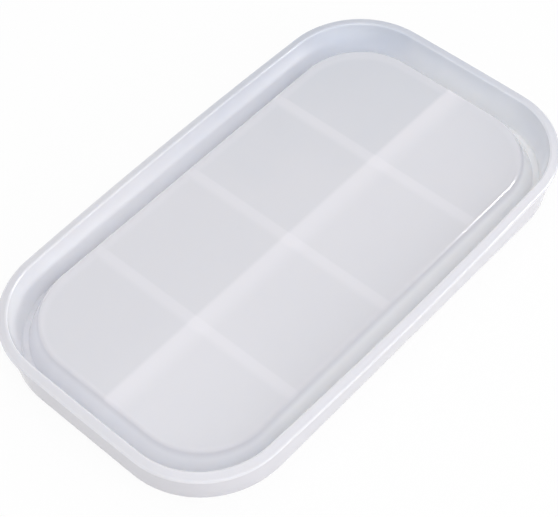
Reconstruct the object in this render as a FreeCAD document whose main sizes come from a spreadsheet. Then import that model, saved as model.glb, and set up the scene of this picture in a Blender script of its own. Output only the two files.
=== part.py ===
"""Silicone casting mould for a shallow rectangular tray.

The mould is a single soft moulding.  It is divided here along its own feature lines
into zones that meet face to face: a flat rim, an outer wall that bows outwards
towards the rim, the channel floor that the mould stands on, the drafted wall and the
face of the raised platform, and the ribs that hold the platform up from below.

Frame: millimetres, +X along the mould, +Y across it, +Z up, with the origin at the
middle of the underside.
"""

import FreeCAD, Part
import math
import os

import Sketcher


# ---------------------------------------------------------------- driving dimensions

DIMENSIONS = {
    # whole mould
    "height": 23.6,
    "rim_inner_length": 275.0,
    "rim_inner_width": 151.4,
    "rim_inner_radius": 41.3,
    # the free rim relaxes outwards: how far each side bows past the straight outline
    "bow_long_side": 3.3,
    "bow_short_side": 0.8,
    # rim flange
    "flange_width": 5.1,
    "flange_thickness": 2.8,
    "flange_round": 0.9,
    # outer wall
    "wall_top_thickness": 3.4,
    "base_length": 281.8,
    "base_width": 158.2,
    "base_radius": 47.8,
    "base_round": 0.8,
    # channel round the platform
    "floor_thickness": 3.3,
    "channel_length": 272.4,
    "channel_width": 148.8,
    "channel_radius": 41.5,
    # raised platform: its top before rounding, and the slope of its sides in degrees
    "platform_depth": 6.75,
    "platform_length": 253.4,
    "platform_width": 132.2,
    "platform_radius": 36.0,
    "platform_draft": 27.0,
    "platform_round": 2.4,
    # shell of the platform
    "platform_wall_thickness": 3.4,
    "face_thickness": 3.0,
    # ribs under the platform
    "rib_root_width": 6.0,
    "rib_tip_width": 4.6,
    "cross_rib_pitch": 66.0,
}

CROSS_RIB_COLUMNS = {"left": -1, "middle": 0, "right": 1}
CROSS_RIB_ROWS = {"front": -1, "back": 1}

LEVEL_TOLERANCE = 1e-4


document = FreeCAD.newDocument("tray_mould")
sheet = document.addObject("Spreadsheet::Sheet", "Dimensions")
for row, (alias, value) in enumerate(DIMENSIONS.items(), start=1):
    sheet.set(f"A{row}", alias)
    sheet.set(f"B{row}", str(value))
    sheet.setAlias(f"B{row}", alias)
document.recompute()


def cell(alias):
    """Expression that reads one cell of the spreadsheet."""
    return f"Dimensions.{alias}"


def value_of(expression):
    """Number that an expression of cells gives, to start a sketch near its answer."""
    return float(sheet.evalExpression(expression))


# ---------------------------------------------------------------- outlines

class Outline:
    """Rounded rectangle centred on the origin.  Every size is an expression of cells."""

    def __init__(self, length, width, radius):
        self.length = length
        self.width = width
        self.radius = radius

    def grown(self, distance):
        """Outline that runs at an equal distance outside this one."""
        return type(self)(
            f"({self.length} + 2 * ({distance}))",
            f"({self.width} + 2 * ({distance}))",
            f"({self.radius} + ({distance}))",
        )

    def draw(self, sketch):
        """Draw the outline with straight sides, and bind its sizes to the sheet."""
        half_length = value_of(self.length) / 2
        half_width = value_of(self.width) / 2
        radius = value_of(self.radius)
        corner_x = half_length - radius
        corner_y = half_width - radius
        ends = (
            ((half_length, -corner_y), (half_length, corner_y)),
            ((corner_x, half_width), (-corner_x, half_width)),
            ((-half_length, corner_y), (-half_length, -corner_y)),
            ((-corner_x, -half_width), (corner_x, -half_width)),
        )
        centres = (
            (corner_x, corner_y), (-corner_x, corner_y), (-corner_x, -corner_y), (corner_x, -corner_y),
        )
        sides = []
        corners = []
        for quarter in range(4):
            start, end = ends[quarter]
            line = Part.LineSegment(FreeCAD.Vector(*start, 0), FreeCAD.Vector(*end, 0))
            sides.append(sketch.addGeometry(line))
            first_angle = quarter * math.pi / 2
            corners.append(add_arc(sketch, centres[quarter], radius, first_angle, first_angle + math.pi / 2))
        join_smoothly(sketch, sides, corners)
        right, top, left, bottom = sides
        sketch.addConstraint(Sketcher.Constraint("Vertical", right))
        sketch.addConstraint(Sketcher.Constraint("Horizontal", top))
        sketch.addConstraint(Sketcher.Constraint("Vertical", left))
        sketch.addConstraint(Sketcher.Constraint("Horizontal", bottom))
        sketch.addConstraint(Sketcher.Constraint("Symmetric", right, 1, left, 1, -1, 1))
        bind(sketch, ("DistanceX", left, 1, right, 1), self.length)
        bind(sketch, ("DistanceY", bottom, 1, top, 1), self.width)
        bind(sketch, ("Radius", corners[0]), self.radius)


class BowedOutline(Outline):
    """Rounded rectangle whose four sides are long arcs that bow outwards."""

    def side_radii(self):
        """Radii that give the arcs of the long and the short sides their bow."""
        return (
            f"({self.length} ^ 2 / (8 * {cell('bow_long_side')}))",
            f"({self.width} ^ 2 / (8 * {cell('bow_short_side')}))",
        )

    def draw(self, sketch):
        """Draw the outline with bowed sides, and bind its sizes to the sheet."""
        long_radius, short_radius = self.side_radii()
        long_drop = f"({long_radius} - {self.width} / 2 - {cell('bow_long_side')})"
        short_drop = f"({short_radius} - {self.length} / 2 - {cell('bow_short_side')})"
        corner_radius = value_of(self.radius)
        long_reach = value_of(long_radius)
        short_reach = value_of(short_radius)
        below = -value_of(long_drop)
        beside = -value_of(short_drop)
        corner_x, corner_y = corner_centre(
            below, beside, long_reach - corner_radius, short_reach - corner_radius,
        )
        short_angle = math.atan2(corner_y, corner_x - beside)
        long_angle = math.atan2(corner_y - below, corner_x)
        side_centres = ((beside, 0), (0, below), (-beside, 0), (0, -below))
        side_reach = (short_reach, long_reach, short_reach, long_reach)
        side_swing = (short_angle, math.pi / 2 - long_angle, short_angle, math.pi / 2 - long_angle)
        corner_centres = (
            (corner_x, corner_y), (-corner_x, corner_y), (-corner_x, -corner_y), (corner_x, -corner_y),
        )
        sides = []
        corners = []
        for quarter in range(4):
            facing = quarter * math.pi / 2
            swing = side_swing[quarter]
            next_swing = side_swing[(quarter + 1) % 4]
            sides.append(add_arc(
                sketch, side_centres[quarter], side_reach[quarter], facing - swing, facing + swing,
            ))
            corners.append(add_arc(
                sketch, corner_centres[quarter], corner_radius,
                facing + swing, facing + math.pi / 2 - next_swing,
            ))
        join_smoothly(sketch, sides, corners)
        right, top, left, bottom = sides
        sketch.addConstraint(Sketcher.Constraint("Equal", right, left))
        sketch.addConstraint(Sketcher.Constraint("Equal", top, bottom))
        sketch.addConstraint(Sketcher.Constraint("PointOnObject", right, 3, -1))
        sketch.addConstraint(Sketcher.Constraint("PointOnObject", top, 3, -2))
        sketch.addConstraint(Sketcher.Constraint("Symmetric", right, 3, left, 3, -1, 1))
        sketch.addConstraint(Sketcher.Constraint("Symmetric", top, 3, bottom, 3, -1, 1))
        bind(sketch, ("Radius", right), short_radius)
        bind(sketch, ("Radius", top), long_radius)
        bind(sketch, ("DistanceX", right, 3, left, 3), f"2 * {short_drop}")
        bind(sketch, ("DistanceY", top, 3, bottom, 3), f"2 * {long_drop}")
        bind(sketch, ("Radius", corners[0]), self.radius)


def corner_centre(below, beside, long_reach, short_reach):
    """Centre of the corner arc that touches a long and a short side arc from inside.

    The long side's centre is (0, below) and the short side's centre is (beside, 0).
    """
    gap = math.hypot(beside, below)
    along = (long_reach ** 2 - short_reach ** 2 + gap ** 2) / (2 * gap)
    aside = math.sqrt(long_reach ** 2 - along ** 2)
    unit_x = beside / gap
    unit_y = -below / gap
    return along * unit_x + aside * unit_y, below + along * unit_y - aside * unit_x


def add_arc(sketch, centre, radius, first_angle, last_angle):
    """Add one arc, drawn counter-clockwise, and return its number."""
    circle = Part.Circle(FreeCAD.Vector(*centre, 0), FreeCAD.Vector(0, 0, 1), radius)
    return sketch.addGeometry(Part.ArcOfCircle(circle, first_angle, last_angle))


def join_smoothly(sketch, sides, corners):
    """Make each side tangent to the corner arcs at its ends, and the corners alike."""
    for quarter in range(4):
        next_side = sides[(quarter + 1) % 4]
        sketch.addConstraint(Sketcher.Constraint("Tangent", sides[quarter], 2, corners[quarter], 1))
        sketch.addConstraint(Sketcher.Constraint("Tangent", corners[quarter], 2, next_side, 1))
    for corner in corners[1:]:
        sketch.addConstraint(Sketcher.Constraint("Equal", corners[0], corner))


def bind(sketch, constraint, expression):
    """Add a dimension to a sketch and tie its value to an expression of cells."""
    number = sketch.addConstraint(Sketcher.Constraint(*constraint, value_of(expression)))
    sketch.setExpression(f"Constraints[{number}]", expression)


# ---------------------------------------------------------------- features

def new_body(label):
    """Empty PartDesign body that carries a sub-part's name."""
    body = document.addObject("PartDesign::Body", f"{label}_body")
    body.Label = label
    return body


def plane_of(body, role):
    """One of a body's own origin planes."""
    for feature in body.Origin.OriginFeatures:
        if feature.Role == role:
            return feature
    raise ValueError(f"no plane {role} in {body.Label}")


def outline_sketch(body, name, outline, level):
    """Sketch of an outline, level with the ground at a height given by an expression."""
    sketch = body.newObject("Sketcher::SketchObject", f"{body.Label}_{name}")
    sketch.AttachmentSupport = (plane_of(body, "XY_Plane"), [""])
    sketch.MapMode = "FlatFace"
    sketch.setExpression("AttachmentOffset.Base.z", level)
    outline.draw(sketch)
    document.recompute()
    return sketch


def raise_outline(body, name, kind, outline, low, high, draft):
    """Block (Pad) or opening (Pocket) above an outline, narrowing upwards by the draft."""
    sketch = outline_sketch(body, f"{name}_outline", outline, low)
    feature = body.newObject(f"PartDesign::{kind}", f"{body.Label}_{name}")
    feature.Profile = (sketch, [""])
    feature.Reversed = kind == "Pocket"
    feature.setExpression("Length", f"{high} - ({low})")
    feature.setExpression("TaperAngle", f"-({draft})")
    document.recompute()
    return feature


def loft(body, name, kind, low_outline, low, high_outline, high):
    """Tapering block (Additive) or opening (Subtractive) between two outlines."""
    lower = outline_sketch(body, f"{name}_lower", low_outline, low)
    upper = outline_sketch(body, f"{name}_upper", high_outline, high)
    feature = body.newObject(f"PartDesign::{kind}Loft", f"{body.Label}_{name}")
    feature.Profile = (lower, [""])
    feature.Sections = [(upper, [""])]
    feature.Ruled = True
    document.recompute()
    return feature


def level_edges(shape, level, outside):
    """Names of the edges at one level that belong to its outer or its inner outline."""
    height = value_of(level)
    reach = {}
    for number, edge in enumerate(shape.Edges, start=1):
        box = edge.BoundBox
        if abs(box.ZMin - height) < LEVEL_TOLERANCE and abs(box.ZMax - height) < LEVEL_TOLERANCE:
            reach[f"Edge{number}"] = edge
    loops = Part.sortEdges(list(reach.values()))
    loops.sort(key=lambda loop: Part.Wire(loop).BoundBox.DiagonalLength)
    chosen = loops[-1] if outside else loops[0]
    return [name for name, edge in reach.items() if any(edge.isSame(other) for other in chosen)]


def round_edges(body, name, level, outside, radius):
    """Fillet along a whole outline of a body."""
    base = body.Tip
    feature = body.newObject("PartDesign::Fillet", f"{body.Label}_{name}")
    feature.Base = (base, level_edges(base.Shape, level, outside))
    feature.setExpression("Radius", radius)
    document.recompute()
    return feature


# ---------------------------------------------------------------- levels and outlines

GROUND = "0"
FLOOR = cell("floor_thickness")
RIM_TOP = cell("height")
FLANGE_UNDERSIDE = f"({cell('height')} - {cell('flange_thickness')})"
FACE_TOP = f"({cell('height')} - {cell('platform_depth')})"
FACE_UNDERSIDE = f"({FACE_TOP} - {cell('face_thickness')})"

RIM_INNER = BowedOutline(cell("rim_inner_length"), cell("rim_inner_width"), cell("rim_inner_radius"))
RIM_OUTER = RIM_INNER.grown(cell("flange_width"))
WALL_TOP = RIM_INNER.grown(cell("wall_top_thickness"))
BASE = Outline(cell("base_length"), cell("base_width"), cell("base_radius"))
CHANNEL = Outline(cell("channel_length"), cell("channel_width"), cell("channel_radius"))

UPRIGHT = "0"
DRAFT = cell("platform_draft")
PLATFORM_TOP = Outline(cell("platform_length"), cell("platform_width"), cell("platform_radius"))
PLATFORM_SHOULDER = PLATFORM_TOP.grown(f"{cell('face_thickness')} * tan({DRAFT})")
PLATFORM_FOOT = PLATFORM_TOP.grown(f"({FACE_TOP} - {FLOOR}) * tan({DRAFT})")
HOLLOW_FOOT = PLATFORM_FOOT.grown(f"-{cell('platform_wall_thickness')}")


# ---------------------------------------------------------------- sub-parts

def rim_flange():
    """Flat rim that stands out past the wall, with soft edges."""
    body = new_body("rim_flange")
    raise_outline(body, "plate", "Pad", RIM_OUTER, FLANGE_UNDERSIDE, RIM_TOP, UPRIGHT)
    raise_outline(body, "mouth", "Pocket", RIM_INNER, FLANGE_UNDERSIDE, RIM_TOP, UPRIGHT)
    round_edges(body, "outer_round", RIM_TOP, True, cell("flange_round"))
    round_edges(body, "inner_round", RIM_TOP, False, cell("flange_round"))
    return body


def outer_wall():
    """Wall whose foot is a straight-sided rectangle and whose top bows out to the rim."""
    body = new_body("outer_wall")
    loft(body, "outside", "Additive", BASE, GROUND, WALL_TOP, FLANGE_UNDERSIDE)
    raise_outline(body, "foot_opening", "Pocket", CHANNEL, GROUND, FLOOR, UPRIGHT)
    loft(body, "inside", "Subtractive", CHANNEL, FLOOR, RIM_INNER, FLANGE_UNDERSIDE)
    round_edges(body, "base_round", GROUND, True, cell("base_round"))
    return body


def channel_floor():
    """Flat floor of the channel, which the mould stands on."""
    body = new_body("channel_floor")
    raise_outline(body, "plate", "Pad", CHANNEL, GROUND, FLOOR, UPRIGHT)
    raise_outline(body, "underside_opening", "Pocket", HOLLOW_FOOT, GROUND, FLOOR, UPRIGHT)
    return body


def platform_wall():
    """Drafted side wall of the platform, hollow below."""
    body = new_body("platform_wall")
    raise_outline(body, "outside", "Pad", PLATFORM_FOOT, FLOOR, FACE_UNDERSIDE, DRAFT)
    raise_outline(body, "hollow", "Pocket", HOLLOW_FOOT, FLOOR, FACE_UNDERSIDE, DRAFT)
    return body


def casting_face():
    """Top of the platform, which shapes the cast, with its rounded edge."""
    body = new_body("casting_face")
    raise_outline(body, "slab", "Pad", PLATFORM_SHOULDER, FACE_UNDERSIDE, FACE_TOP, DRAFT)
    round_edges(body, "edge_round", FACE_TOP, True, cell("platform_round"))
    return body


def underside_hollow():
    """Space under the platform.  It only trims the ribs and is no piece of the mould."""
    body = new_body("underside_hollow")
    raise_outline(body, "foot", "Pad", HOLLOW_FOOT, GROUND, FLOOR, UPRIGHT)
    raise_outline(body, "taper", "Pad", HOLLOW_FOOT, FLOOR, FACE_UNDERSIDE, DRAFT)
    return body


def rib_blank(label, plane_role, length, one_sided):
    """Untrimmed rib: a bar along a plane's normal, wide at its root and narrow at its tip."""
    body = new_body(label)
    sketch = body.newObject("Sketcher::SketchObject", f"{label}_section")
    sketch.AttachmentSupport = (plane_of(body, plane_role), [""])
    sketch.MapMode = "FlatFace"
    half_tip = value_of(cell("rib_tip_width")) / 2
    half_root = value_of(cell("rib_root_width")) / 2
    top = value_of(FACE_UNDERSIDE)
    corners = ((-half_tip, 0), (half_tip, 0), (half_root, top), (-half_root, top))
    points = [FreeCAD.Vector(*corner, 0) for corner in corners]
    tip, right, root, left = [
        sketch.addGeometry(Part.LineSegment(points[number], points[(number + 1) % 4]))
        for number in range(4)
    ]
    for first, second in ((tip, right), (right, root), (root, left), (left, tip)):
        sketch.addConstraint(Sketcher.Constraint("Coincident", first, 2, second, 1))
    sketch.addConstraint(Sketcher.Constraint("PointOnObject", tip, 1, -1))
    sketch.addConstraint(Sketcher.Constraint("Symmetric", tip, 1, tip, 2, -2))
    sketch.addConstraint(Sketcher.Constraint("Symmetric", root, 1, root, 2, -2))
    bind(sketch, ("DistanceX", tip, 1, tip, 2), cell("rib_tip_width"))
    bind(sketch, ("DistanceX", root, 2, root, 1), cell("rib_root_width"))
    bind(sketch, ("DistanceY", tip, 2, root, 1), FACE_UNDERSIDE)
    document.recompute()
    bar = body.newObject("PartDesign::Pad", f"{label}_bar")
    bar.Profile = (sketch, [""])
    bar.setExpression("Length", length)
    if one_sided:
        bar.Reversed = one_sided < 0
    else:
        bar.Midplane = True
    document.recompute()
    return body


def trimmed_rib(label, blank, hollow):
    """Part of a rib blank that fits inside the underside hollow."""
    rib = document.addObject("Part::Common", label)
    rib.Base = hollow
    rib.Tool = blank
    document.recompute()
    return rib


def long_rib(hollow):
    """Lengthwise rib that stiffens the platform from wall to wall."""
    blank = rib_blank("long_rib_blank", "YZ_Plane", cell("base_length"), 0)
    rib = trimmed_rib("long_rib_trim", blank, hollow)
    whole = document.addObject("Part::Refine", "long_rib_piece")
    whole.Source = rib
    whole.Label = "long_rib"
    document.recompute()
    return whole


def cross_rib(label, column, side, hollow, spine):
    """Half of a cross rib, from the long rib to the platform's wall on one side."""
    blank = rib_blank(f"{label}_blank", "XZ_Plane", f"{cell('base_width')} / 2", -side)
    blank.setExpression("Placement.Base.x", f"{column} * {cell('cross_rib_pitch')}")
    document.recompute()
    inside = trimmed_rib(f"{label}_trim", blank, hollow)
    half = document.addObject("Part::Cut", f"{label}_piece")
    half.Base = inside
    half.Tool = spine
    half.Label = label
    document.recompute()
    return half


# ---------------------------------------------------------------- build and write

def check(nodes):
    """Stop if any feature failed, or if any sub-part isn't a sound solid."""
    for feature in document.Objects:
        if "Invalid" in feature.State or "Error" in feature.State:
            raise RuntimeError(f"{feature.Label} failed: {feature.State}")
    for node in nodes:
        shape = node.Shape
        if shape.isNull() or not shape.isValid() or len(shape.Solids) != 1:
            raise RuntimeError(f"{node.Label} is not one valid solid")
        print(f"{node.Label}: {shape.Volume / 1000:.2f} cm3")


def main():
    hollow = underside_hollow()
    spine = long_rib(hollow)
    nodes = [rim_flange(), outer_wall(), channel_floor(), platform_wall(), casting_face(), spine]
    for column_name, column in CROSS_RIB_COLUMNS.items():
        for row_name, side in CROSS_RIB_ROWS.items():
            nodes.append(cross_rib(f"cross_rib_{column_name}_{row_name}", column, side, hollow, spine))
    document.recompute()
    check(nodes)
    os.makedirs("parts", exist_ok=True)
    for node in nodes:
        node.Shape.exportStep(f"parts/{node.Label}.step")


main()
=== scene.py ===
"""Milky silicone mould that casts a shallow tray with rounded corners.

The real mould is a single soft moulding, so what shows of it is one skin without seams:
a flat rim, a wall that bows out towards it, a channel, a raised platform that shapes the
cast, and a hollow below.  The ribs that hold the platform up are pieces of their own.
Silicone is translucent; the paler bands where ribs and walls stand behind the skin are painted
light, as are the paler channel, rim and inward faces, and painted shade darkens the right back end.
"""

import math
from collections import namedtuple

import bmesh
import bpy
from mathutils import Matrix, Vector


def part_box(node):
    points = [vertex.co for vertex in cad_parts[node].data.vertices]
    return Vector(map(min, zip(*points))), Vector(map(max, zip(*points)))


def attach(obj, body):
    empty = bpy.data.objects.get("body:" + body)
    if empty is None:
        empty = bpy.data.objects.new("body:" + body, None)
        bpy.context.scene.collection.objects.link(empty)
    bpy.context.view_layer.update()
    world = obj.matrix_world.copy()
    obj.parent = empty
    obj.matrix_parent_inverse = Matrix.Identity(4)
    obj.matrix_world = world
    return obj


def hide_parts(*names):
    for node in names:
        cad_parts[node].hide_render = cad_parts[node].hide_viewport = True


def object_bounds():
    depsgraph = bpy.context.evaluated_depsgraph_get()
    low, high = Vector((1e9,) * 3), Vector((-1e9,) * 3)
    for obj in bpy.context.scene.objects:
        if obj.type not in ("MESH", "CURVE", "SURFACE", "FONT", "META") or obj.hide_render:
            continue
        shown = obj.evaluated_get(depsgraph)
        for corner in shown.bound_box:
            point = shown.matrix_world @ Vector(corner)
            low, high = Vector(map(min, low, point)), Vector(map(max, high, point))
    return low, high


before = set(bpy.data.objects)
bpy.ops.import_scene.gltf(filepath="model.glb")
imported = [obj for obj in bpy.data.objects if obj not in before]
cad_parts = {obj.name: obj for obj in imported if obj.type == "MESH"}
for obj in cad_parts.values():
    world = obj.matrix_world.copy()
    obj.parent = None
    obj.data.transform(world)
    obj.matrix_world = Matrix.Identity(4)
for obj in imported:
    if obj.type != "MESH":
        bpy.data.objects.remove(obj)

bl_info = {
    "name": "Silicone Tray Mould",
    "version": (1, 0, 0),
    "blender": (4, 5, 0),
    "location": "View3D > Sidebar > Mould",
    "description": "Models a silicone casting mould for a tray, with its finish and a plain stage",
    "category": "Add Mesh",
}

CAD_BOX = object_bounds()
MM = 0.001
BODY = "root"

# The zones of the one moulding that the skin stands for.
SKIN_ZONES = ("rim_flange", "outer_wall", "channel_floor", "platform_wall", "casting_face")
LONG_RIB = "long_rib"
CROSS_RIBS = [
    f"cross_rib_{column}_{row}"
    for column in ("left", "middle", "right") for row in ("front", "back")
]

# How finely outlines are divided, and how many steps turn a rounded edge.
CORNER_STEPS = 18
LONG_SIDE_STEPS = 12
SHORT_SIDE_STEPS = 6
ROUND_STEPS = 4
WALL_CUTS = 4

# Vertices nearer than this are merged: where an outline closes, and in a finished piece.
CLOSING_DISTANCE = 0.1 * MM
MERGE_DISTANCE = 0.002 * MM
# How far off a level a vertex may lie and still count as on it.
LEVEL_REACH = 0.02 * MM
# How far above its level an outline is drawn while it is bridged.
BRIDGE_LIFT = 5 * MM
# Height of the flare at a rib's root, as a multiple of its width.
FLARE_HEIGHT = 1.5
# Faces that meet at a smaller angle than this are shaded as one.
SMOOTH_ANGLE = math.radians(40)

# Painted shade makes the silicone darker and bluer from the left front corner to the right
# back one: how much of that goes along and how much across, and where it begins and is complete.
SHADE_ALONG = 0.65
SHADE_ACROSS = 0.35
SHADE_FROM = 0.4
SHADE_FULLY = 1.2
# A face that looks into the tray gets painted light, paler the farther it is from the middle,
# between these.
LIGHT_FROM = 10 * MM
LIGHT_FULLY = 120 * MM
# Blur of the lower limit of the rim's painted light.
RIM_BLUR = 0.5 * MM
# How far red, green and blue light travel in the silicone, as shares of the reach.
REACH_BY_COLOUR = (1.0, 0.95, 0.9)

CAMERA_AIM = Vector((-18.48, -11.37, 23.6)) * MM



def linear(colour):
    """Linear colour of an sRGB hex code."""
    channels = [int(colour[place:place + 2], 16) / 255 for place in (1, 3, 5)]
    return tuple(c / 12.92 if c <= 0.04045 else ((c + 0.055) / 1.055) ** 2.4 for c in channels)


def size_of(name, description, millimetres):
    """Length that the panel shows in the scene's units."""
    return bpy.props.FloatProperty(
        name=name, description=description, default=millimetres * MM, min=0.0,
        unit="LENGTH", precision=4,
    )


def share_of(name, description, value):
    """Share between nought and one."""
    return bpy.props.FloatProperty(
        name=name, description=description, default=value, min=0.0, max=1.0, subtype="FACTOR",
    )


def colour_of(name, description, colour):
    """Colour given as an sRGB hex code."""
    return bpy.props.FloatVectorProperty(
        name=name, description=description, default=linear(colour), size=3, min=0.0, max=1.0,
        subtype="COLOR",
    )


def angle_of(name, description, degrees):
    """Angle given in degrees."""
    return bpy.props.FloatProperty(
        name=name, description=description, default=math.radians(degrees), subtype="ANGLE",
    )


def power_of(name, description, watts):
    """Power of a lamp."""
    return bpy.props.FloatProperty(
        name=name, description=description, default=watts, min=0.0, unit="POWER",
    )


# ---------------------------------------------------------------- settings

class MouldShapeSettings(bpy.types.PropertyGroup):
    """Sizes of the skin that the boxes of the solid model don't give."""

    rim_width: size_of("Rim width", "Width of the flat rim", 5.1)
    rim_radius: size_of("Rim corner", "Corner radius of the rim's inner edge", 41.3)
    bow_long: size_of("Long side bow", "How far the free rim bows out on a long side", 3.3)
    bow_short: size_of("Short side bow", "How far the free rim bows out on a short side", 0.8)
    rim_round: size_of("Rim rounding", "Radius of the rim's upper edges", 0.9)
    rim_fall: size_of("Rim fall", "How far the rim's outer edge lies below its inner one", 0.9)
    rim_lower_round: size_of("Rim lower rounding", "Radius of the rim's lower edge", 0.35)
    wall_top: size_of("Wall top", "Thickness of the wall where it meets the rim", 3.4)
    foot_length: size_of("Foot length", "Length of the mould where it stands", 281.8)
    foot_width: size_of("Foot width", "Width of the mould where it stands", 158.2)
    foot_radius: size_of("Foot corner", "Corner radius of the mould where it stands", 47.8)
    foot_round: size_of("Foot rounding", "Radius of the mould's lower edge", 0.8)
    channel_radius: size_of("Channel corner", "Corner radius of the channel's outer edge", 41.5)
    channel_round: size_of("Channel rounding", "Radius where walls meet the channel floor", 0.5)
    platform_radius: size_of("Platform corner", "Corner radius of the platform's top", 36.0)
    platform_draft: angle_of("Platform draft", "Slope of the platform's sides off upright", 27.0)
    platform_round: size_of("Platform rounding", "Radius of the platform's top edge", 2.4)
    platform_wall: size_of("Platform wall", "Level thickness of the platform's wall", 3.4)
    hollow_round: size_of("Hollow rounding", "Radius of the hollow's edges", 0.6)
    flat_margin: size_of("Flat margin", "Strip that keeps a face flat beside a rounded edge", 0.5)


class RibShapeSettings(bpy.types.PropertyGroup):
    """Sizes of the ribs that the boxes of the solid model don't give."""

    root_width: size_of("Rib root", "Width of a rib where it meets the platform", 6.0)
    tip_width: size_of("Rib tip", "Width of a rib along its lower edge", 4.6)
    root_flare: size_of("Root flare", "How far a rib widens on each side at its root", 0.7)
    tip_round: size_of("Tip rounding", "Radius of a rib's lower edges", 0.7)
    bite: size_of("Bite", "How far a rib's ends run into what they join", 1.0)


class SiliconeSettings(bpy.types.PropertyGroup):
    """Looks of the silicone, with the painted light and painted shade on it."""

    thick_colour: colour_of("Thick silicone", "Colour of the wall and the ribs", "#D4D3D9")
    # Painted light on the rim and on the faces that look into the tray.
    painted_light_colour: colour_of("Pale silicone", "Colour of the rim and the wall's inside", "#EDEEF2")
    # Painted shade: the silicone turns darker and bluer towards its right back end.
    shade_tint: colour_of("Cool tint", "Tint of the silicone at its cooler end", "#E6EBF2")
    # Painted light in the channel.
    channel_light_colour: colour_of("Deep silicone", "Colour of the channel, where light gathers", "#F6F7FB")
    thin_colour: colour_of("Thin silicone", "Colour of the platform, hollow behind", "#DADADF")
    # Painted shade on the platform towards its right back end.
    shaded_platform_colour: colour_of("Cool silicone", "Colour of the platform at its cooler end", "#CFD2D9")
    # Painted light where a rib or the platform's wall stands behind the platform.
    rib_light_colour: colour_of("Backed silicone", "Colour where a rib stands behind", "#E6E5EA")
    cloudiness: share_of("Cloudiness", "How far clouds shift the change of tint", 0.40)
    cloud_size: size_of("Cloud size", "Width of a cloud in the silicone", 45.0)
    # Strength of the painted light on the rim.
    rim_light: share_of("Rim paleness", "How pale the rim is, beside the wall's inside", 0.40)
    # How much of the channel's painted light is left at the left end and the back.
    channel_light_ends: share_of("Deep ends", "Depth of the channel's colour at the left and back", 0.70)
    # Strengths and shapes of the bands of painted light where ribs and wall stand behind.
    long_rib_light: share_of("Long rib seen", "How strongly the long rib shows through", 0.80)
    cross_rib_seen: share_of("Cross ribs seen", "How strongly the cross ribs show through", 0.42)
    wall_light: share_of("Wall seen", "How strongly the platform's wall shows through", 0.25)
    see_through: size_of("See-through shift", "How far the image of a rib lies off the rib", 2.0)
    sharp_edge: size_of("Sharp edge", "Blur of the sharp edge of a rib's image", 1.5)
    near_glow: size_of("Near glow", "Width of the bright glow beside a rib's image", 12.0)
    far_glow: size_of("Far glow", "Width of the faint glow beside the long rib's image", 60.0)
    far_glow_share: share_of("Far glow share", "Share of the far glow in the image", 0.38)
    rough: share_of("Roughness", "Roughness of the moulded surface", 0.15)
    rough_change: share_of("Roughness change", "How far roughness wanders over the surface", 0.06)
    scatter: share_of("Scatter", "Share of light that travels inside the silicone", 0.90)
    scatter_reach: size_of("Scatter reach", "How far light travels inside the silicone", 1.0)
    ripple_size: size_of("Ripple size", "Width of the slow ripples of soft silicone", 26.0)
    ripple_depth: size_of("Ripple depth", "Height of the slow ripples", 0.25)
    ripple_seen: share_of("Ripples seen", "How strongly the ripples show", 0.35)
    grain_size: size_of("Grain size", "Width of the grain of the moulded surface", 0.9)
    grain_depth: size_of("Grain depth", "Height of the grain", 0.04)
    grain_seen: share_of("Grain seen", "How strongly the grain shows", 0.12)


class StageSettings(bpy.types.PropertyGroup):
    """Floor, lamps and camera."""

    floor_colour: colour_of("Floor", "Colour of the floor", "#F2F2F2")
    room_colour: colour_of("Room", "Colour of the even light from all round", "#FFFFFF")
    room_light: share_of("Room light", "Strength of the even light from all round", 0.74)
    floor_size: size_of("Floor size", "Length of each side of the floor", 6000.0)
    fibre_size: size_of("Fibre size", "Width of the fibres of the floor's card", 3.0)
    fibre_depth: size_of("Fibre depth", "Height of the fibres of the floor's card", 0.05)
    white_share: share_of("Floor white", "How far the floor reads as plain white", 0.92)
    overhead_power: power_of("Overhead softbox", "Power of the softbox above the mould", 3.5)
    front_power: power_of("Front softbox", "Power of the softbox in front", 4.5)
    low_power: power_of("Low softbox", "Power of the low softbox in front", 8.0)
    strip_power: power_of("Strip softbox", "Power of the softbox that the platform mirrors", 14.0)
    camera_azimuth: angle_of("Camera azimuth", "Where round the mould the camera stands", -44.669)
    camera_elevation: angle_of("Camera elevation", "How steeply the camera looks down", 52.708)
    camera_roll: angle_of("Camera roll", "How far the camera is tilted about its own axis", -3.933)
    camera_distance: size_of("Camera distance", "Distance from the camera to its aim", 756.4)
    camera_lens: bpy.props.FloatProperty(
        name="Camera lens", description="Focal length on a 36 mm sensor", default=101.2,
        unit="CAMERA",
    )


# ---------------------------------------------------------------- outlines and sections

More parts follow.
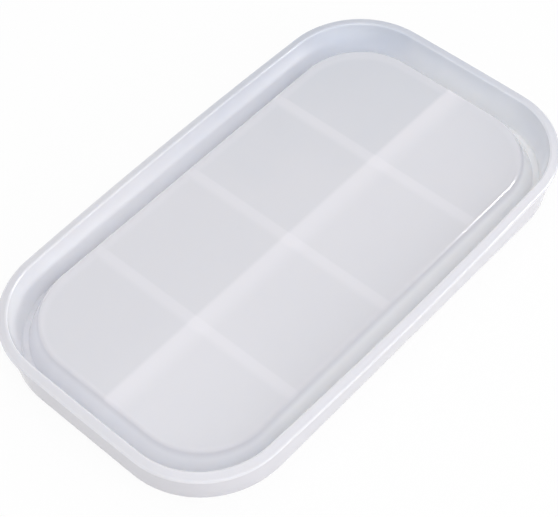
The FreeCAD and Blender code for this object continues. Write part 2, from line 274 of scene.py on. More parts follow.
class Outline(namedtuple("Outline", "length width radius bow_long bow_short")):
    """Rounded rectangle centred on the origin, whose sides may bow out as long arcs."""

    def grown(self, distance):
        """Outline that runs at an equal distance outside this one."""
        return self._replace(
            length=self.length + 2 * distance,
            width=self.width + 2 * distance,
            radius=self.radius + distance,
        )

    def runs(self):
        """Sides and corners in order, clockwise from the middle of the back side.

        Each run is (centre, turn, steps) for an arc, or (None, shift, steps) for a straight side.
        """
        if self.bow_long:
            return self.bowed_runs()
        half_long = self.length / 2 - self.radius
        half_short = self.width / 2 - self.radius
        quarter = math.pi / 2
        return (
            (None, (half_long, 0), LONG_SIDE_STEPS),
            ((half_long, half_short), quarter, CORNER_STEPS),
            (None, (0, -2 * half_short), 2 * SHORT_SIDE_STEPS),
            ((half_long, -half_short), quarter, CORNER_STEPS),
            (None, (-2 * half_long, 0), 2 * LONG_SIDE_STEPS),
            ((-half_long, -half_short), quarter, CORNER_STEPS),
            (None, (0, 2 * half_short), 2 * SHORT_SIDE_STEPS),
            ((-half_long, half_short), quarter, CORNER_STEPS),
            (None, (half_long, 0), LONG_SIDE_STEPS),
        )

    def bowed_runs(self):
        """The same, where arcs of a long radius stand for the sides."""
        long_reach = self.length ** 2 / (8 * self.bow_long)
        short_reach = self.width ** 2 / (8 * self.bow_short)
        below = self.width / 2 + self.bow_long - long_reach
        beside = self.length / 2 + self.bow_short - short_reach
        corner_x, corner_y = touching_centre(
            below, beside, long_reach - self.radius, short_reach - self.radius,
        )
        long_swing = math.atan2(corner_x, corner_y - below)
        short_swing = math.atan2(corner_y, corner_x - beside)
        corner_turn = math.pi / 2 - long_swing - short_swing
        return (
            ((0, below), long_swing, LONG_SIDE_STEPS),
            ((corner_x, corner_y), corner_turn, CORNER_STEPS),
            ((beside, 0), 2 * short_swing, 2 * SHORT_SIDE_STEPS),
            ((corner_x, -corner_y), corner_turn, CORNER_STEPS),
            ((0, -below), 2 * long_swing, 2 * LONG_SIDE_STEPS),
            ((-corner_x, -corner_y), corner_turn, CORNER_STEPS),
            ((-beside, 0), 2 * short_swing, 2 * SHORT_SIDE_STEPS),
            ((-corner_x, corner_y), corner_turn, CORNER_STEPS),
            ((0, below), long_swing, LONG_SIDE_STEPS),
        )


def touching_centre(below, beside, long_reach, short_reach):
    """Centre of the corner arc that touches a long side's arc and a short side's from inside.

    The long side's arc is centred on (0, below) and the short side's on (beside, 0).
    """
    gap = math.hypot(beside, below)
    along = (long_reach ** 2 - short_reach ** 2 + gap ** 2) / (2 * gap)
    aside = math.sqrt(long_reach ** 2 - along ** 2)
    return (along * beside - aside * below) / gap, below - (along * below + aside * beside) / gap


def rounding(outline, out, level, radius, first, last):
    """Loops that turn a rounded edge: its centre lies `out` past the outline, angles in degrees."""
    loops = []
    for step in range(ROUND_STEPS + 1):
        angle = math.radians(first + (last - first) * step / ROUND_STEPS)
        aside, above = radius * math.cos(angle), radius * math.sin(angle)
        loops.append((outline.grown(out + aside), level + above, 0))
    return loops


def skin_section(shape):
    """Loops of the skin from the platform's face outwards, over the rim and back underneath.

    Each loop is (outline, level, cuts), where cuts divide the band that leads to it.
    """
    rim_low, rim_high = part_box("rim_flange")
    floor_low, floor_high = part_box("channel_floor")
    face_low, face_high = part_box("casting_face")
    wall_low, wall_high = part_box("platform_wall")
    draft = math.degrees(shape.platform_draft)
    slope = math.tan(shape.platform_draft)
    lean = (1 - math.sin(shape.platform_draft)) / math.cos(shape.platform_draft)
    margin = shape.flat_margin
    rise = face_high.z - floor_high.z

    rim_outer = Outline(
        rim_high.x - rim_low.x - 2 * shape.bow_short, rim_high.y - rim_low.y - 2 * shape.bow_long,
        shape.rim_radius + shape.rim_width, shape.bow_long, shape.bow_short,
    )
    mouth = rim_outer.grown(-shape.rim_width)
    wall_top = mouth.grown(shape.wall_top)
    foot = Outline(shape.foot_length, shape.foot_width, shape.foot_radius, 0, 0)
    channel = Outline(
        floor_high.x - floor_low.x, floor_high.y - floor_low.y, shape.channel_radius, 0, 0,
    )
    platform_foot = Outline(
        wall_high.x - wall_low.x, wall_high.y - wall_low.y,
        shape.platform_radius + rise * slope, 0, 0,
    )
    platform_top = platform_foot.grown(-rise * slope)
    hollow_foot = platform_foot.grown(-shape.platform_wall)
    hollow_top = hollow_foot.grown(-(face_low.z - floor_high.z) * slope)
    edge, bend, low_bend = shape.platform_round, shape.channel_round, shape.hollow_round
    rim_edge, rim_low_edge, foot_edge = shape.rim_round, shape.rim_lower_round, shape.foot_round
    rim_shoulder = rim_high.z - shape.rim_fall

    return (
        [(platform_top.grown(-edge * lean - margin), face_high.z, 0)]
        + rounding(platform_top, -edge * lean, face_high.z - edge, edge, 90, draft)
        + rounding(platform_foot, bend * lean, floor_high.z + bend, bend, 180 + draft, 270)
        + rounding(channel, -bend, floor_high.z + bend, bend, 270, 360)
        + [(mouth, rim_low.z, WALL_CUTS)]
        + rounding(mouth, rim_edge, rim_high.z - rim_edge, rim_edge, 180, 90)
        + [(mouth.grown(rim_edge + margin), rim_high.z, 0)]
        + [(rim_outer.grown(-rim_edge - margin), rim_shoulder, 0)]
        + rounding(rim_outer, -rim_edge, rim_shoulder - rim_edge, rim_edge, 90, 0)
        + rounding(rim_outer, -rim_low_edge, rim_low.z + rim_low_edge, rim_low_edge, 0, -90)
        + rounding(wall_top, low_bend, rim_low.z - low_bend, low_bend, 90, 180)
        + rounding(foot, -foot_edge, foot_edge, foot_edge, 0, -90)
        + [(foot.grown(-foot_edge - margin), 0, 0)]
        + [(hollow_foot.grown(low_bend + margin), 0, 0)]
        + rounding(hollow_foot, low_bend, low_bend, low_bend, 270, 180)
        + [(hollow_foot, floor_high.z, 0)]
        + rounding(hollow_top, -low_bend * lean, face_low.z - low_bend, low_bend, draft, 90)
        + [(hollow_top.grown(-low_bend * lean - margin), face_low.z, 0)]
    )


# ---------------------------------------------------------------- modelling

def draw_outline(name, outline, level):
    """Draw one closed outline: arcs are spun and straight sides are extruded from one vertex."""
    bpy.ops.object.select_all(action="DESELECT")
    bpy.ops.mesh.primitive_plane_add(size=MM)
    drawing = bpy.context.active_object
    drawing.name = name
    drawing.data.name = name
    bpy.ops.object.mode_set(mode="EDIT")
    bpy.ops.mesh.select_mode(type="VERT")
    bpy.ops.mesh.select_all(action="SELECT")
    bpy.ops.mesh.merge(type="CENTER")
    bpy.ops.transform.translate(value=(0, outline.width / 2 + outline.bow_long, level))
    for centre, turn, steps in outline.runs():
        if centre is None:
            step = Vector((*turn, 0)) / steps
            for _ in range(steps):
                bpy.ops.mesh.extrude_vertices_move(TRANSFORM_OT_translate={"value": step})
        else:
            bpy.ops.mesh.spin(
                steps=steps, angle=turn, center=(*centre, level), axis=(0, 0, 1),
                use_auto_merge=False,
            )
    bpy.ops.mesh.select_all(action="SELECT")
    bpy.ops.mesh.remove_doubles(threshold=CLOSING_DISTANCE)
    return drawing


def select_open_edges():
    """Select the open edge of the skin and any outline that isn't joined to it yet."""
    bpy.ops.mesh.select_all(action="DESELECT")
    bpy.ops.mesh.select_non_manifold(
        extend=False, use_wire=True, use_boundary=True, use_multi_face=False,
        use_non_contiguous=False, use_verts=False,
    )


def bridge_to_outline(skin, outline, level, cuts):
    """Draw the next outline and bridge the open edge of the skin to it.

    Outlines on one level could be bridged the wrong way round, so an outline is drawn a
    little above its level and brought down to it afterwards.
    """
    lift = 0 if cuts else BRIDGE_LIFT
    bpy.ops.object.mode_set(mode="OBJECT")
    draw_outline("outline", outline, level + lift)
    bpy.ops.object.mode_set(mode="OBJECT")
    skin.select_set(True)
    bpy.context.view_layer.objects.active = skin
    bpy.ops.object.join()
    bpy.ops.object.mode_set(mode="EDIT")
    select_open_edges()
    bpy.ops.mesh.bridge_edge_loops(type="SINGLE", number_cuts=cuts, interpolation="LINEAR")
    select_open_edges()
    bpy.ops.transform.translate(value=(0, 0, -lift))


def select_vertices(piece, chosen):
    """Select the vertices of the piece being edited for which chosen(place) is true."""
    bpy.ops.mesh.select_all(action="DESELECT")
    drawing = bmesh.from_edit_mesh(piece.data)
    for vertex in drawing.verts:
        vertex.select = chosen(vertex.co)
    drawing.select_flush(True)
    bmesh.update_edit_mesh(piece.data)


def select_edges(piece, chosen):
    """Select the edges of the piece being edited for which chosen(start, end) is true."""
    bpy.ops.mesh.select_mode(type="EDGE")
    bpy.ops.mesh.select_all(action="DESELECT")
    drawing = bmesh.from_edit_mesh(piece.data)
    for line in drawing.edges:
        line.select_set(chosen(line.verts[0].co, line.verts[1].co))
    bmesh.update_edit_mesh(piece.data)


def finish_piece(piece, material, *nodes):
    """Close, smooth and place a piece, give it its finish and let it stand for its CAD nodes."""
    bpy.ops.mesh.select_all(action="SELECT")
    bpy.ops.mesh.remove_doubles(threshold=MERGE_DISTANCE)
    bpy.ops.mesh.normals_make_consistent(inside=False)
    bpy.ops.object.mode_set(mode="OBJECT")
    bpy.ops.object.transform_apply(location=True, rotation=True, scale=True)
    bpy.ops.object.shade_smooth_by_angle(angle=SMOOTH_ANGLE)
    # Flat faces keep their flat look right up to a rounded edge.
    bpy.ops.object.modifier_add(type="WEIGHTED_NORMAL")
    weighting = piece.modifiers[-1]
    weighting.keep_sharp = True
    weighting.weight = 100
    bpy.ops.object.modifier_apply(modifier=weighting.name)
    shape = bmesh.new()
    shape.from_mesh(piece.data)
    open_edges = [line for line in shape.edges if not line.is_manifold]
    volume = shape.calc_volume(signed=True)
    shape.free()
    if open_edges or volume <= 0:
        raise RuntimeError(
            f"{piece.name} has {len(open_edges)} open edges and holds {volume} cubic metres"
        )
    piece.data.materials.clear()
    piece.data.materials.append(material)
    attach(piece, BODY)
    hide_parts(*nodes)


class MOULD_OT_skin(bpy.types.Operator):
    """Model the moulded skin: rim, outer wall, channel and raised platform"""

    bl_idname = "mould.skin"
    bl_label = "Moulded Skin"

    def execute(self, context):
        first, *others = skin_section(context.scene.mould_shape)
        piece = draw_outline("mould_skin", *first[:2])
        bpy.ops.mesh.edge_face_add()
        for loop in others:
            bridge_to_outline(piece, *loop)
        select_open_edges()
        bpy.ops.mesh.edge_face_add()
        finish_piece(piece, moulded_silicone(context.scene, "skin"), *SKIN_ZONES)
        return {"FINISHED"}


def model_rib(shape, name, low, high, along, wall_ends):
    """Bar that narrows downwards, flares at its root and has a rounded lower edge.

    low and high are the bar's lowest and highest corner.  along is 0 for a rib that runs
    along the mould and 1 for one that runs across it.  wall_ends says on which sides, -1
    or 1, an end meets the sloping wall of the platform.
    """
    bpy.ops.object.select_all(action="DESELECT")
    bpy.ops.mesh.primitive_cube_add(size=1, location=(low + high) / 2, scale=high - low)
    piece = bpy.context.active_object
    piece.name = name
    piece.data.name = name
    bpy.ops.object.transform_apply(location=True, rotation=False, scale=True)
    bpy.ops.object.mode_set(mode="EDIT")
    bpy.ops.mesh.select_mode(type="VERT")
    centre = (low + high) / 2
    floor_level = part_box("channel_floor")[1].z
    flare_level = high.z - FLARE_HEIGHT * shape.root_flare
    slope = math.tan(bpy.context.scene.mould_shape.platform_draft)
    for height in (floor_level, flare_level):
        bpy.ops.mesh.select_all(action="SELECT")
        bpy.ops.mesh.bisect(plane_co=(0, 0, height), plane_no=(0, 0, 1))
    widening = (shape.root_width - shape.tip_width) / high.z
    widths = (
        (low.z, shape.tip_width),
        (floor_level, shape.tip_width + widening * floor_level),
        (flare_level, shape.tip_width + widening * flare_level),
        (high.z, shape.root_width + 2 * shape.root_flare),
    )
    for height, width in widths:
        select_vertices(piece, lambda place: abs(place.z - height) < LEVEL_REACH)
        factor = [1, 1, 1]
        factor[1 - along] = width / (high - low)[1 - along]
        bpy.ops.transform.resize(value=factor, center_override=centre)
        for side in wall_ends if height > floor_level else ():
            select_vertices(piece, lambda place: (
                abs(place.z - height) < LEVEL_REACH and (place[along] - centre[along]) * side > 0
            ))
            shift = Vector((0, 0, 0))
            shift[along] = -side * slope * (height - floor_level)
            bpy.ops.transform.translate(value=shift)
    select_edges(piece, lambda start, end: (
        max(start.z, end.z) < low.z + MERGE_DISTANCE
        and abs(start[along] - end[along]) > shape.root_width
    ))
    bpy.ops.mesh.bevel(offset=shape.tip_round, segments=ROUND_STEPS, affect="EDGES")
    return piece


def copy_rib(model, name, shift, mirrored):
    """Copy a rib with a mesh of its own, move it along the mould, and mirror it front to back."""
    bpy.ops.object.mode_set(mode="OBJECT")
    bpy.ops.object.select_all(action="DESELECT")
    model.select_set(True)
    bpy.context.view_layer.objects.active = model
    bpy.ops.object.duplicate(linked=False)
    piece = bpy.context.active_object
    piece.name = name
    piece.data.name = name
    bpy.ops.transform.translate(value=(shift, 0, 0))
    if mirrored:
        bpy.ops.transform.resize(value=(1, -1, 1), center_override=(0, 0, 0))
    bpy.ops.object.transform_apply(location=True, rotation=True, scale=True)
    bpy.ops.object.mode_set(mode="EDIT")
    return piece


class MOULD_OT_ribs(bpy.types.Operator):
    """Model the ribs that hold the platform up from below"""

    bl_idname = "mould.ribs"
    bl_label = "Support Ribs"

    def execute(self, context):
        shape = context.scene.mould_ribs
        material = moulded_silicone(context.scene, "ribs")
        low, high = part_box(LONG_RIB)
        bite = Vector((shape.bite, 0, 0))
        piece = model_rib(shape, "support_rib_long", low - bite, high + bite, 0, (-1, 1))
        finish_piece(piece, material, LONG_RIB)

        # All cross ribs have one shape, which is modelled once at the first one's place.
        low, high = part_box(CROSS_RIBS[0])
        bite = Vector((0, shape.bite, 0))
        model = model_rib(shape, "support_rib_model", low - bite, high + bite, 1, (-1,))
        for node in CROSS_RIBS:
            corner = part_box(node)[0]
            name = node.replace("cross_rib", "support_rib")
            piece = copy_rib(model, name, corner.x - low.x, mirrored=corner.y > 0)
            finish_piece(piece, material, node)
        bpy.data.meshes.remove(model.data)  # the object goes with it
        return {"FINISHED"}


# ---------------------------------------------------------------- materials

def add_node(tree, kind, settings=(), links=()):
    """Add a node.

    settings are its properties or the values of its inputs, and links feed its inputs.
    """
    node = tree.nodes.new(kind)
    for name, value in dict(settings).items():
        if isinstance(name, str) and name in node.bl_rna.properties:
            setattr(node, name, value)
        else:
            node.inputs[name].default_value = value
    for name, source in dict(links).items():
        tree.links.new(source, node.inputs[name])
    return node


def new_tree(material):
    """Empty node tree of a material, with its output node."""
    material.use_nodes = True
    material.node_tree.nodes.clear()
    return material.node_tree, add_node(material.node_tree, "ShaderNodeOutputMaterial")


def band(tree, distance, near, near_blur, far, far_blur):
    """Mask that is 1 between near and far, and fades out over each blur."""
    rises = add_node(tree, "ShaderNodeMapRange", {
        "interpolation_type": "SMOOTHSTEP", "From Min": near - near_blur, "From Max": near,
    }, {"Value": distance})
    falls = add_node(tree, "ShaderNodeMapRange", {
        "interpolation_type": "SMOOTHSTEP", "From Min": far, "From Max": far + far_blur,
        "To Min": 1, "To Max": 0,
    }, {"Value": distance})
    return add_node(tree, "ShaderNodeMath", {
        "operation": "MULTIPLY",
    }, {0: rises.outputs[0], 1: falls.outputs[0]}).outputs[0]


def outline_distance(tree, place, half_length, half_width, radius):
    """How far a place lies outside a rounded rectangle, and below nought how far inside."""
    level = add_node(tree, "ShaderNodeVectorMath", {
        "operation": "MULTIPLY", 1: (1, 1, 0),
    }, {0: place})
    folded = add_node(tree, "ShaderNodeVectorMath", {
        "operation": "ABSOLUTE",
    }, {0: level.outputs[0]})
    past = add_node(tree, "ShaderNodeVectorMath", {
        "operation": "SUBTRACT", 1: (half_length - radius, half_width - radius, 0),
    }, {0: folded.outputs[0]})
    outside = add_node(tree, "ShaderNodeVectorMath", {
        "operation": "MAXIMUM", 1: (0, 0, 0),
    }, {0: past.outputs[0]})
    length = add_node(tree, "ShaderNodeVectorMath", {
        "operation": "LENGTH",
    }, {0: outside.outputs[0]})
    return add_node(tree, "ShaderNodeMath", {
        "operation": "SUBTRACT", 1: radius,
    }, {0: length.outputs["Value"]}).outputs[0]


def tray_masks(tree, place, scene):
    """Masks of the platform, of the painted light in the channel round it, and of the painted
    light where ribs and the platform's wall stand behind the platform.

    The bands of painted light lie shifted off the ribs and wall, with one edge sharp and a glow
    beside the other.
    """
    shape, ribs, looks = scene.mould_shape, scene.mould_ribs, scene.mould_silicone
    low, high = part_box("casting_face")
    growth = (high.z - low.z) * math.tan(shape.platform_draft)
    half_length = high.x - growth
    half_width = high.y - growth
    middle_low, middle_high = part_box("cross_rib_middle_front")
    right_low, right_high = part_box("cross_rib_right_front")
    pitch = (right_low.x + right_high.x - middle_low.x - middle_high.x) / 2
    half_rib = ribs.root_width / 2
    blur = looks.sharp_edge

    # Bands of painted light where ribs and the platform's wall stand behind, shifted off them.
    shifted = add_node(tree, "ShaderNodeVectorMath", {
        "operation": "ADD", 1: (looks.see_through, looks.see_through, 0),
    }, {0: place}).outputs[0]
    parts = add_node(tree, "ShaderNodeSeparateXYZ", {}, {0: shifted})
    repeated = add_node(tree, "ShaderNodeMath", {
        "operation": "WRAP", 1: pitch / 2, 2: -pitch / 2,
    }, {0: parts.outputs["X"]}).outputs[0]
    near_side, far_side = (
        band(tree, parts.outputs["Y"], -half_rib / 2, glow, 0, 2 * blur)
        for glow in (looks.near_glow, looks.far_glow)
    )
    lengthwise = add_node(tree, "ShaderNodeMix", {
        "data_type": "FLOAT", 0: looks.far_glow_share,
    }, {2: near_side, 3: far_side}).outputs[0]
    crosswise = band(tree, repeated, -half_rib + blur, 3 * blur, half_rib - blur, blur)
    edge, shifted_edge = (
        outline_distance(tree, point, half_length, half_width, shape.platform_radius)
        for point in (place, shifted)
    )
    behind = band(
        tree, shifted_edge, -shape.platform_wall / 2, shape.platform_wall, 0, 3 * growth,
    )
    long_rib, cross_ribs, wall = (
        add_node(tree, "ShaderNodeMath", {"operation": "MULTIPLY", 1: share}, {0: mask}).outputs[0]
        for mask, share in (
            (lengthwise, looks.long_rib_light),
            (crosswise, looks.cross_rib_seen),
            (behind, looks.wall_light),
        )
    )
    ribs_light = add_node(tree, "ShaderNodeMath", {
        "operation": "ADD", "use_clamp": True,
    }, {0: long_rib, 1: cross_ribs}).outputs[0]
    see_through_light = add_node(tree, "ShaderNodeMath", {
        "operation": "MAXIMUM",
    }, {0: ribs_light, 1: wall}).outputs[0]
    platform = add_node(tree, "ShaderNodeMapRange", {
        "interpolation_type": "SMOOTHSTEP",
        "From Min": 0, "From Max": 1.5 * growth, "To Min": 1, "To Max": 0,
    }, {"Value": edge}).outputs[0]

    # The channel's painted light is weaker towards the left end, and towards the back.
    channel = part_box("channel_floor")[1]
    around = band(tree, edge, growth, 2 * growth, channel.x - half_length, 2 * growth)
    left_end, back = (
        add_node(tree, "ShaderNodeMapRange", {
            "From Min": least, "From Max": most, "To Min": looks.channel_light_ends, "To Max": 1,
        }, {"Value": parts.outputs[axis]}).outputs[0]
        for axis, least, most in (("X", -half_length, -half_length / 2), ("Y", half_width, 0))
    )
    ends = add_node(tree, "ShaderNodeMath", {
        "operation": "MULTIPLY",
    }, {0: left_end, 1: back}).outputs[0]
    channel_light = add_node(tree, "ShaderNodeMath", {
        "operation": "MULTIPLY",
    }, {0: around, 1: ends}).outputs[0]
    return platform, channel_light, see_through_light


def painted_light_places(tree, place, looks):
    """Mask of the painted light on the faces that look into the tray, and more faintly on the rim.
    """
    rim_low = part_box("rim_flange")[0]
    height = add_node(tree, "ShaderNodeSeparateXYZ", {}, {0: place})
    rim = add_node(tree, "ShaderNodeMapRange", {
        "interpolation_type": "SMOOTHSTEP", "To Max": looks.rim_light,
        "From Min": rim_low.z - RIM_BLUR, "From Max": rim_low.z + RIM_BLUR,
    }, {"Value": height.outputs["Z"]})
    normal = add_node(tree, "ShaderNodeTexCoord").outputs["Normal"]
    level = add_node(tree, "ShaderNodeVectorMath", {
        "operation": "MULTIPLY", 1: (1, 1, 0),
    }, {0: place})
    outwards = add_node(tree, "ShaderNodeVectorMath", {
        "operation": "DOT_PRODUCT",
    }, {0: level.outputs[0], 1: normal})
    inwards = add_node(tree, "ShaderNodeMapRange", {
        "From Min": -LIGHT_FROM, "From Max": -LIGHT_FULLY,
    }, {"Value": outwards.outputs["Value"]})
    return add_node(tree, "ShaderNodeMath", {
        "operation": "MAXIMUM",
    }, {0: rim.outputs[0], 1: inwards.outputs[0]}).outputs[0]


def painted_shade(tree, place, looks):
    """Mask of painted shade, darker and bluer towards the right back end, in an even change with
    clouds in it.
    """
    clouds = add_node(tree, "ShaderNodeTexNoise", {
        "Scale": 1 / looks.cloud_size, "Detail": 2, "Roughness": 0.5,
    }, {"Vector": place})
    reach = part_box("outer_wall")[1]
    even = add_node(tree, "ShaderNodeVectorMath", {
        "operation": "DOT_PRODUCT", 1: (SHADE_ALONG / reach.x, SHADE_ACROSS / reach.y, 0),
    }, {0: place})
    cloudy = add_node(tree, "ShaderNodeMath", {
        "operation": "MULTIPLY_ADD", 1: looks.cloudiness,
    }, {0: clouds.outputs[0], 2: even.outputs["Value"]})
    return add_node(tree, "ShaderNodeMapRange", {
        "From Min": SHADE_FROM, "From Max": SHADE_FULLY,
    }, {"Value": cloudy.outputs[0]}).outputs[0]


def silicone_colour(tree, place, scene, part):
    """Colour of the silicone, with painted shade towards its right back end and painted light on
    its rim and inward faces, and on the skin also painted light in the channel and where ribs and
    walls stand behind the platform.
    """
    looks = scene.mould_silicone
    # Painted shade, darker and bluer towards the right back end.
    shadier = painted_shade(tree, place, looks)
    # Painted light on the rim and on the faces that look into the tray.
    body = add_node(tree, "ShaderNodeMix", {
        "data_type": "RGBA", 6: (*looks.thick_colour, 1), 7: (*looks.painted_light_colour, 1),
    }, {0: painted_light_places(tree, place, looks)})
    tinted = add_node(tree, "ShaderNodeMix", {
        "data_type": "RGBA", "blend_type": "MULTIPLY", 7: (*looks.shade_tint, 1),
    }, {0: shadier, 6: body.outputs[2]})
    if part != "skin":
        return tinted.outputs[2]

    platform, channel_light, see_through_light = tray_masks(tree, place, scene)
    # Painted light in the channel.
    outside = add_node(tree, "ShaderNodeMix", {
        "data_type": "RGBA", 7: (*looks.channel_light_colour, 1),
    }, {0: channel_light, 6: tinted.outputs[2]})
    # The platform's colour, with painted shade towards its right back end.
    thin = add_node(tree, "ShaderNodeMix", {
        "data_type": "RGBA", 6: (*looks.thin_colour, 1), 7: (*looks.shaded_platform_colour, 1),
    }, {0: shadier})
    zoned = add_node(tree, "ShaderNodeMix", {
        "data_type": "RGBA",
    }, {0: platform, 6: outside.outputs[2], 7: thin.outputs[2]})
    # Painted light where ribs and the platform's wall stand behind.
    painted_rib_light = add_node(tree, "ShaderNodeMath", {
        "operation": "MULTIPLY",
    }, {0: see_through_light, 1: platform})
    return add_node(tree, "ShaderNodeMix", {
        "data_type": "RGBA", 7: (*looks.rib_light_colour, 1),
    }, {0: painted_rib_light.outputs[0], 6: zoned.outputs[2]}).outputs[2]


def moulded_silicone(scene, part):
    """Milky platinum-cured silicone, poured in a polished steel tool.

    It has a soft satin surface with hardly any grain, a slow ripple because it isn't stiff,
    and a cloudy depth.  The channel, the rim and the faces that look into the tray are paler
    with painted light.  The silicone is darker and bluer towards its right back end with
    painted shade, and a rib or wall behind the platform shows as a paler band of painted light.
    """
    looks = scene.mould_silicone
    material = bpy.data.materials.new(f"moulded_silicone_{part}")
    tree, output = new_tree(material)
    place = add_node(tree, "ShaderNodeTexCoord").outputs["Object"]
    colour = silicone_colour(tree, place, scene, part)

    wander = add_node(tree, "ShaderNodeTexNoise", {
        "Scale": 1 / looks.ripple_size, "Detail": 3,
    }, {"Vector": place})
    rough = add_node(tree, "ShaderNodeMapRange", {
        "To Min": looks.rough - looks.rough_change / 2,
        "To Max": looks.rough + looks.rough_change / 2,
    }, {"Value": wander.outputs[0]})
    ripple = add_node(tree, "ShaderNodeBump", {
        "Strength": looks.ripple_seen, "Distance": looks.ripple_depth,
    }, {"Height": wander.outputs[0]})
    # The grain of a polished tool is too fine to show, so it is drawn coarser than it is.
    grain_noise = add_node(tree, "ShaderNodeTexNoise", {
        "Scale": 1 / looks.grain_size, "Detail": 2,
    }, {"Vector": place})
    grain = add_node(tree, "ShaderNodeBump", {
        "Strength": looks.grain_seen, "Distance": looks.grain_depth,
    }, {"Height": grain_noise.outputs[0], "Normal": ripple.outputs[0]})
    shader = add_node(tree, "ShaderNodeBsdfPrincipled", {
        "IOR": 1.41,
        "Subsurface Weight": looks.scatter,
        "Subsurface Radius": REACH_BY_COLOUR,
        "Subsurface Scale": looks.scatter_reach,
    }, {"Base Color": colour, "Roughness": rough.outputs[0], "Normal": grain.outputs[0]})
    tree.links.new(shader.outputs[0], output.inputs["Surface"])
    return material


def white_card(stage):
    """Matt white card that reads as plain white from the camera and keeps the soft shadow.

    Its fibres are too fine to show, so they are drawn coarser than they are.
    """
    material = bpy.data.materials.new("matt_white_card")
    tree, output = new_tree(material)
    place = add_node(tree, "ShaderNodeTexCoord").outputs["Object"]
    fibres = add_node(tree, "ShaderNodeTexNoise", {
        "Scale": 1 / stage.fibre_size, "Detail": 4,
    }, {"Vector": place})
    fine = add_node(tree, "ShaderNodeBump", {
        "Strength": 0.1, "Distance": stage.fibre_depth,
    }, {"Height": fibres.outputs[0]})
    card = add_node(tree, "ShaderNodeBsdfPrincipled", {
        "Base Color": (*stage.floor_colour, 1), "Roughness": 0.9, "Specular IOR Level": 0.2,
    }, {"Normal": fine.outputs[0]})
    white = add_node(tree, "ShaderNodeEmission", {"Color": (1, 1, 1, 1), "Strength": 1})
    path = add_node(tree, "ShaderNodeLightPath")
    seen = path.outputs["Is Camera Ray"]
    for kind in ("Is Glossy Ray", "Is Transmission Ray"):
        seen = add_node(tree, "ShaderNodeMath", {
            "operation": "MAXIMUM",
        }, {0: seen, 1: path.outputs[kind]}).outputs[0]
    share = add_node(tree, "ShaderNodeMath", {
        "operation": "MULTIPLY", 1: stage.white_share,
    }, {0: seen})
    surface = add_node(
        tree, "ShaderNodeMixShader", {},
        {0: share.outputs[0], 1: card.outputs[0], 2: white.outputs[0]},
    )
    tree.links.new(surface.outputs[0], output.inputs["Surface"])
    return material


# ---------------------------------------------------------------- stage

def softbox(name, aim, direction, distance, width, height, power, tall=(0, 0, 1)):
    """Rectangular lamp that faces its aim, with its height along `tall` as nearly as can be."""
    back = Vector(direction).normalized()
    side = Vector(tall).cross(back).normalized()
    light = bpy.data.lights.new(name, "AREA")
    light.shape = "RECTANGLE"
    light.size = width
    light.size_y = height
    light.energy = power
    lamp = bpy.data.objects.new(name, light)
    axes = Matrix((side, back.cross(side), back)).transposed().to_4x4()
    lamp.matrix_world = Matrix.Translation(Vector(aim) + back * distance) @ axes
    bpy.context.scene.collection.objects.link(lamp)
    return lamp


def aim_camera(stage, aim):
    """Camera that looks at its aim from the stage's azimuth and elevation."""
    azimuth, elevation, roll = stage.camera_azimuth, stage.camera_elevation, stage.camera_roll
    back = Vector((
        math.sin(azimuth) * math.cos(elevation),
        -math.cos(azimuth) * math.cos(elevation),
        math.sin(elevation),
    ))
    right = Vector((math.cos(azimuth), math.sin(azimuth), 0))
    up = back.cross(right)
    turned_right = right * math.cos(roll) + up * math.sin(roll)
    turned_up = up * math.cos(roll) - right * math.sin(roll)
    data = bpy.data.cameras.new("camera")
    data.sensor_width = 36
    data.lens = stage.camera_lens
    data.clip_start = 0.01
    data.clip_end = 20
    camera = bpy.data.objects.new("camera", data)
    place = aim + back * stage.camera_distance
    axes = Matrix((turned_right, turned_up, back)).transposed().to_4x4()
    camera.matrix_world = Matrix.Translation(place) @ axes
    bpy.context.scene.collection.objects.link(camera)
    bpy.context.scene.camera = camera


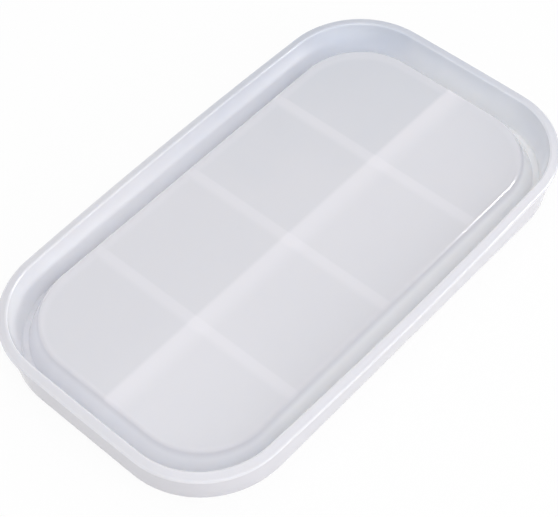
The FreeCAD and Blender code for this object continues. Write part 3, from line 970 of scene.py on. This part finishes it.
class MOULD_OT_stage(bpy.types.Operator):
    """Make the floor, the lamps, the room's light and the camera"""

    bl_idname = "mould.stage"
    bl_label = "Stage"

    def execute(self, context):
        scene = context.scene
        stage = scene.mould_stage
        below = CAD_BOX[0].z - 0.05 * MM
        bpy.ops.object.select_all(action="DESELECT")
        bpy.ops.mesh.primitive_plane_add(size=stage.floor_size, location=(0, 0, below))
        floor = context.active_object
        floor.name = "floor"
        floor.data.materials.append(white_card(stage))

        world = bpy.data.worlds.new("white_room")
        scene.world = world
        world.use_nodes = True
        tree = world.node_tree
        tree.nodes.clear()
        path = add_node(tree, "ShaderNodeLightPath")
        room = add_node(tree, "ShaderNodeBackground", {
            "Color": (*stage.room_colour, 1), "Strength": stage.room_light,
        })
        white = add_node(tree, "ShaderNodeBackground", {"Color": (1, 1, 1, 1), "Strength": 1})
        either = add_node(
            tree, "ShaderNodeMixShader", {},
            {0: path.outputs["Is Camera Ray"], 1: room.outputs[0], 2: white.outputs[0]},
        )
        output = add_node(tree, "ShaderNodeOutputWorld", {}, {"Surface": either.outputs[0]})
        output.is_active_output = True

        centre = Vector((0, 0, CAD_BOX[1].z / 2))
        softbox(
            "overhead_softbox", centre, direction=(0, 0.2, 1), distance=1.6,
            width=1.2, height=1.0, power=stage.overhead_power,
        )
        softbox(
            "front_softbox", centre, direction=(-0.28, -0.55, 0.8), distance=1.7,
            width=0.7, height=0.7, power=stage.front_power,
        )
        softbox(
            "low_softbox", centre, direction=(0.2, -1, 0.3), distance=1.7,
            width=1.2, height=0.5, power=stage.low_power,
        )

        # The strip stands where the platform's front edge mirrors it near its right end.  It
        # is hidden from diffuse rays, so it makes that streak and no other light.
        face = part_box("casting_face")[1]
        glint = Vector((0.64 * face.x, -face.y, face.z))
        strip = softbox(
            "strip_softbox", glint, direction=(0.63, -0.45, 0.63), distance=1.1,
            width=0.33, height=0.3, power=stage.strip_power, tall=(-0.06, 0.77, 0.63),
        )
        strip.visible_diffuse = False

        aim_camera(stage, CAMERA_AIM)
        scene.view_settings.view_transform = "Standard"
        return {"FINISHED"}


class MOULD_PT_panel(bpy.types.Panel):
    """Lists the pieces of the mould and their settings"""

    bl_idname = "MOULD_PT_panel"
    bl_label = "Silicone Mould"
    bl_space_type = "VIEW_3D"
    bl_region_type = "UI"
    bl_category = "Mould"

    def draw(self, context):
        for operator in OPERATORS:
            self.layout.operator(operator.bl_idname)
        for pointer, group in SETTINGS.items():
            box = self.layout.box()
            for name in group.__annotations__:
                box.prop(getattr(context.scene, pointer), name)


OPERATORS = (MOULD_OT_skin, MOULD_OT_ribs, MOULD_OT_stage)
SETTINGS = {
    "mould_shape": MouldShapeSettings,
    "mould_ribs": RibShapeSettings,
    "mould_silicone": SiliconeSettings,
    "mould_stage": StageSettings,
}


def register():
    for pointer, group in SETTINGS.items():
        bpy.utils.register_class(group)
        setattr(bpy.types.Scene, pointer, bpy.props.PointerProperty(type=group))
    for kind in (*OPERATORS, MOULD_PT_panel):
        bpy.utils.register_class(kind)


def unregister():
    for kind in (MOULD_PT_panel, *reversed(OPERATORS)):
        bpy.utils.unregister_class(kind)
    for pointer, group in reversed(SETTINGS.items()):
        delattr(bpy.types.Scene, pointer)
        bpy.utils.unregister_class(group)


def main():
    register()
    bpy.ops.mould.skin()
    bpy.ops.mould.ribs()
    bpy.ops.mould.stage()


if __name__ == "__main__":
    main()
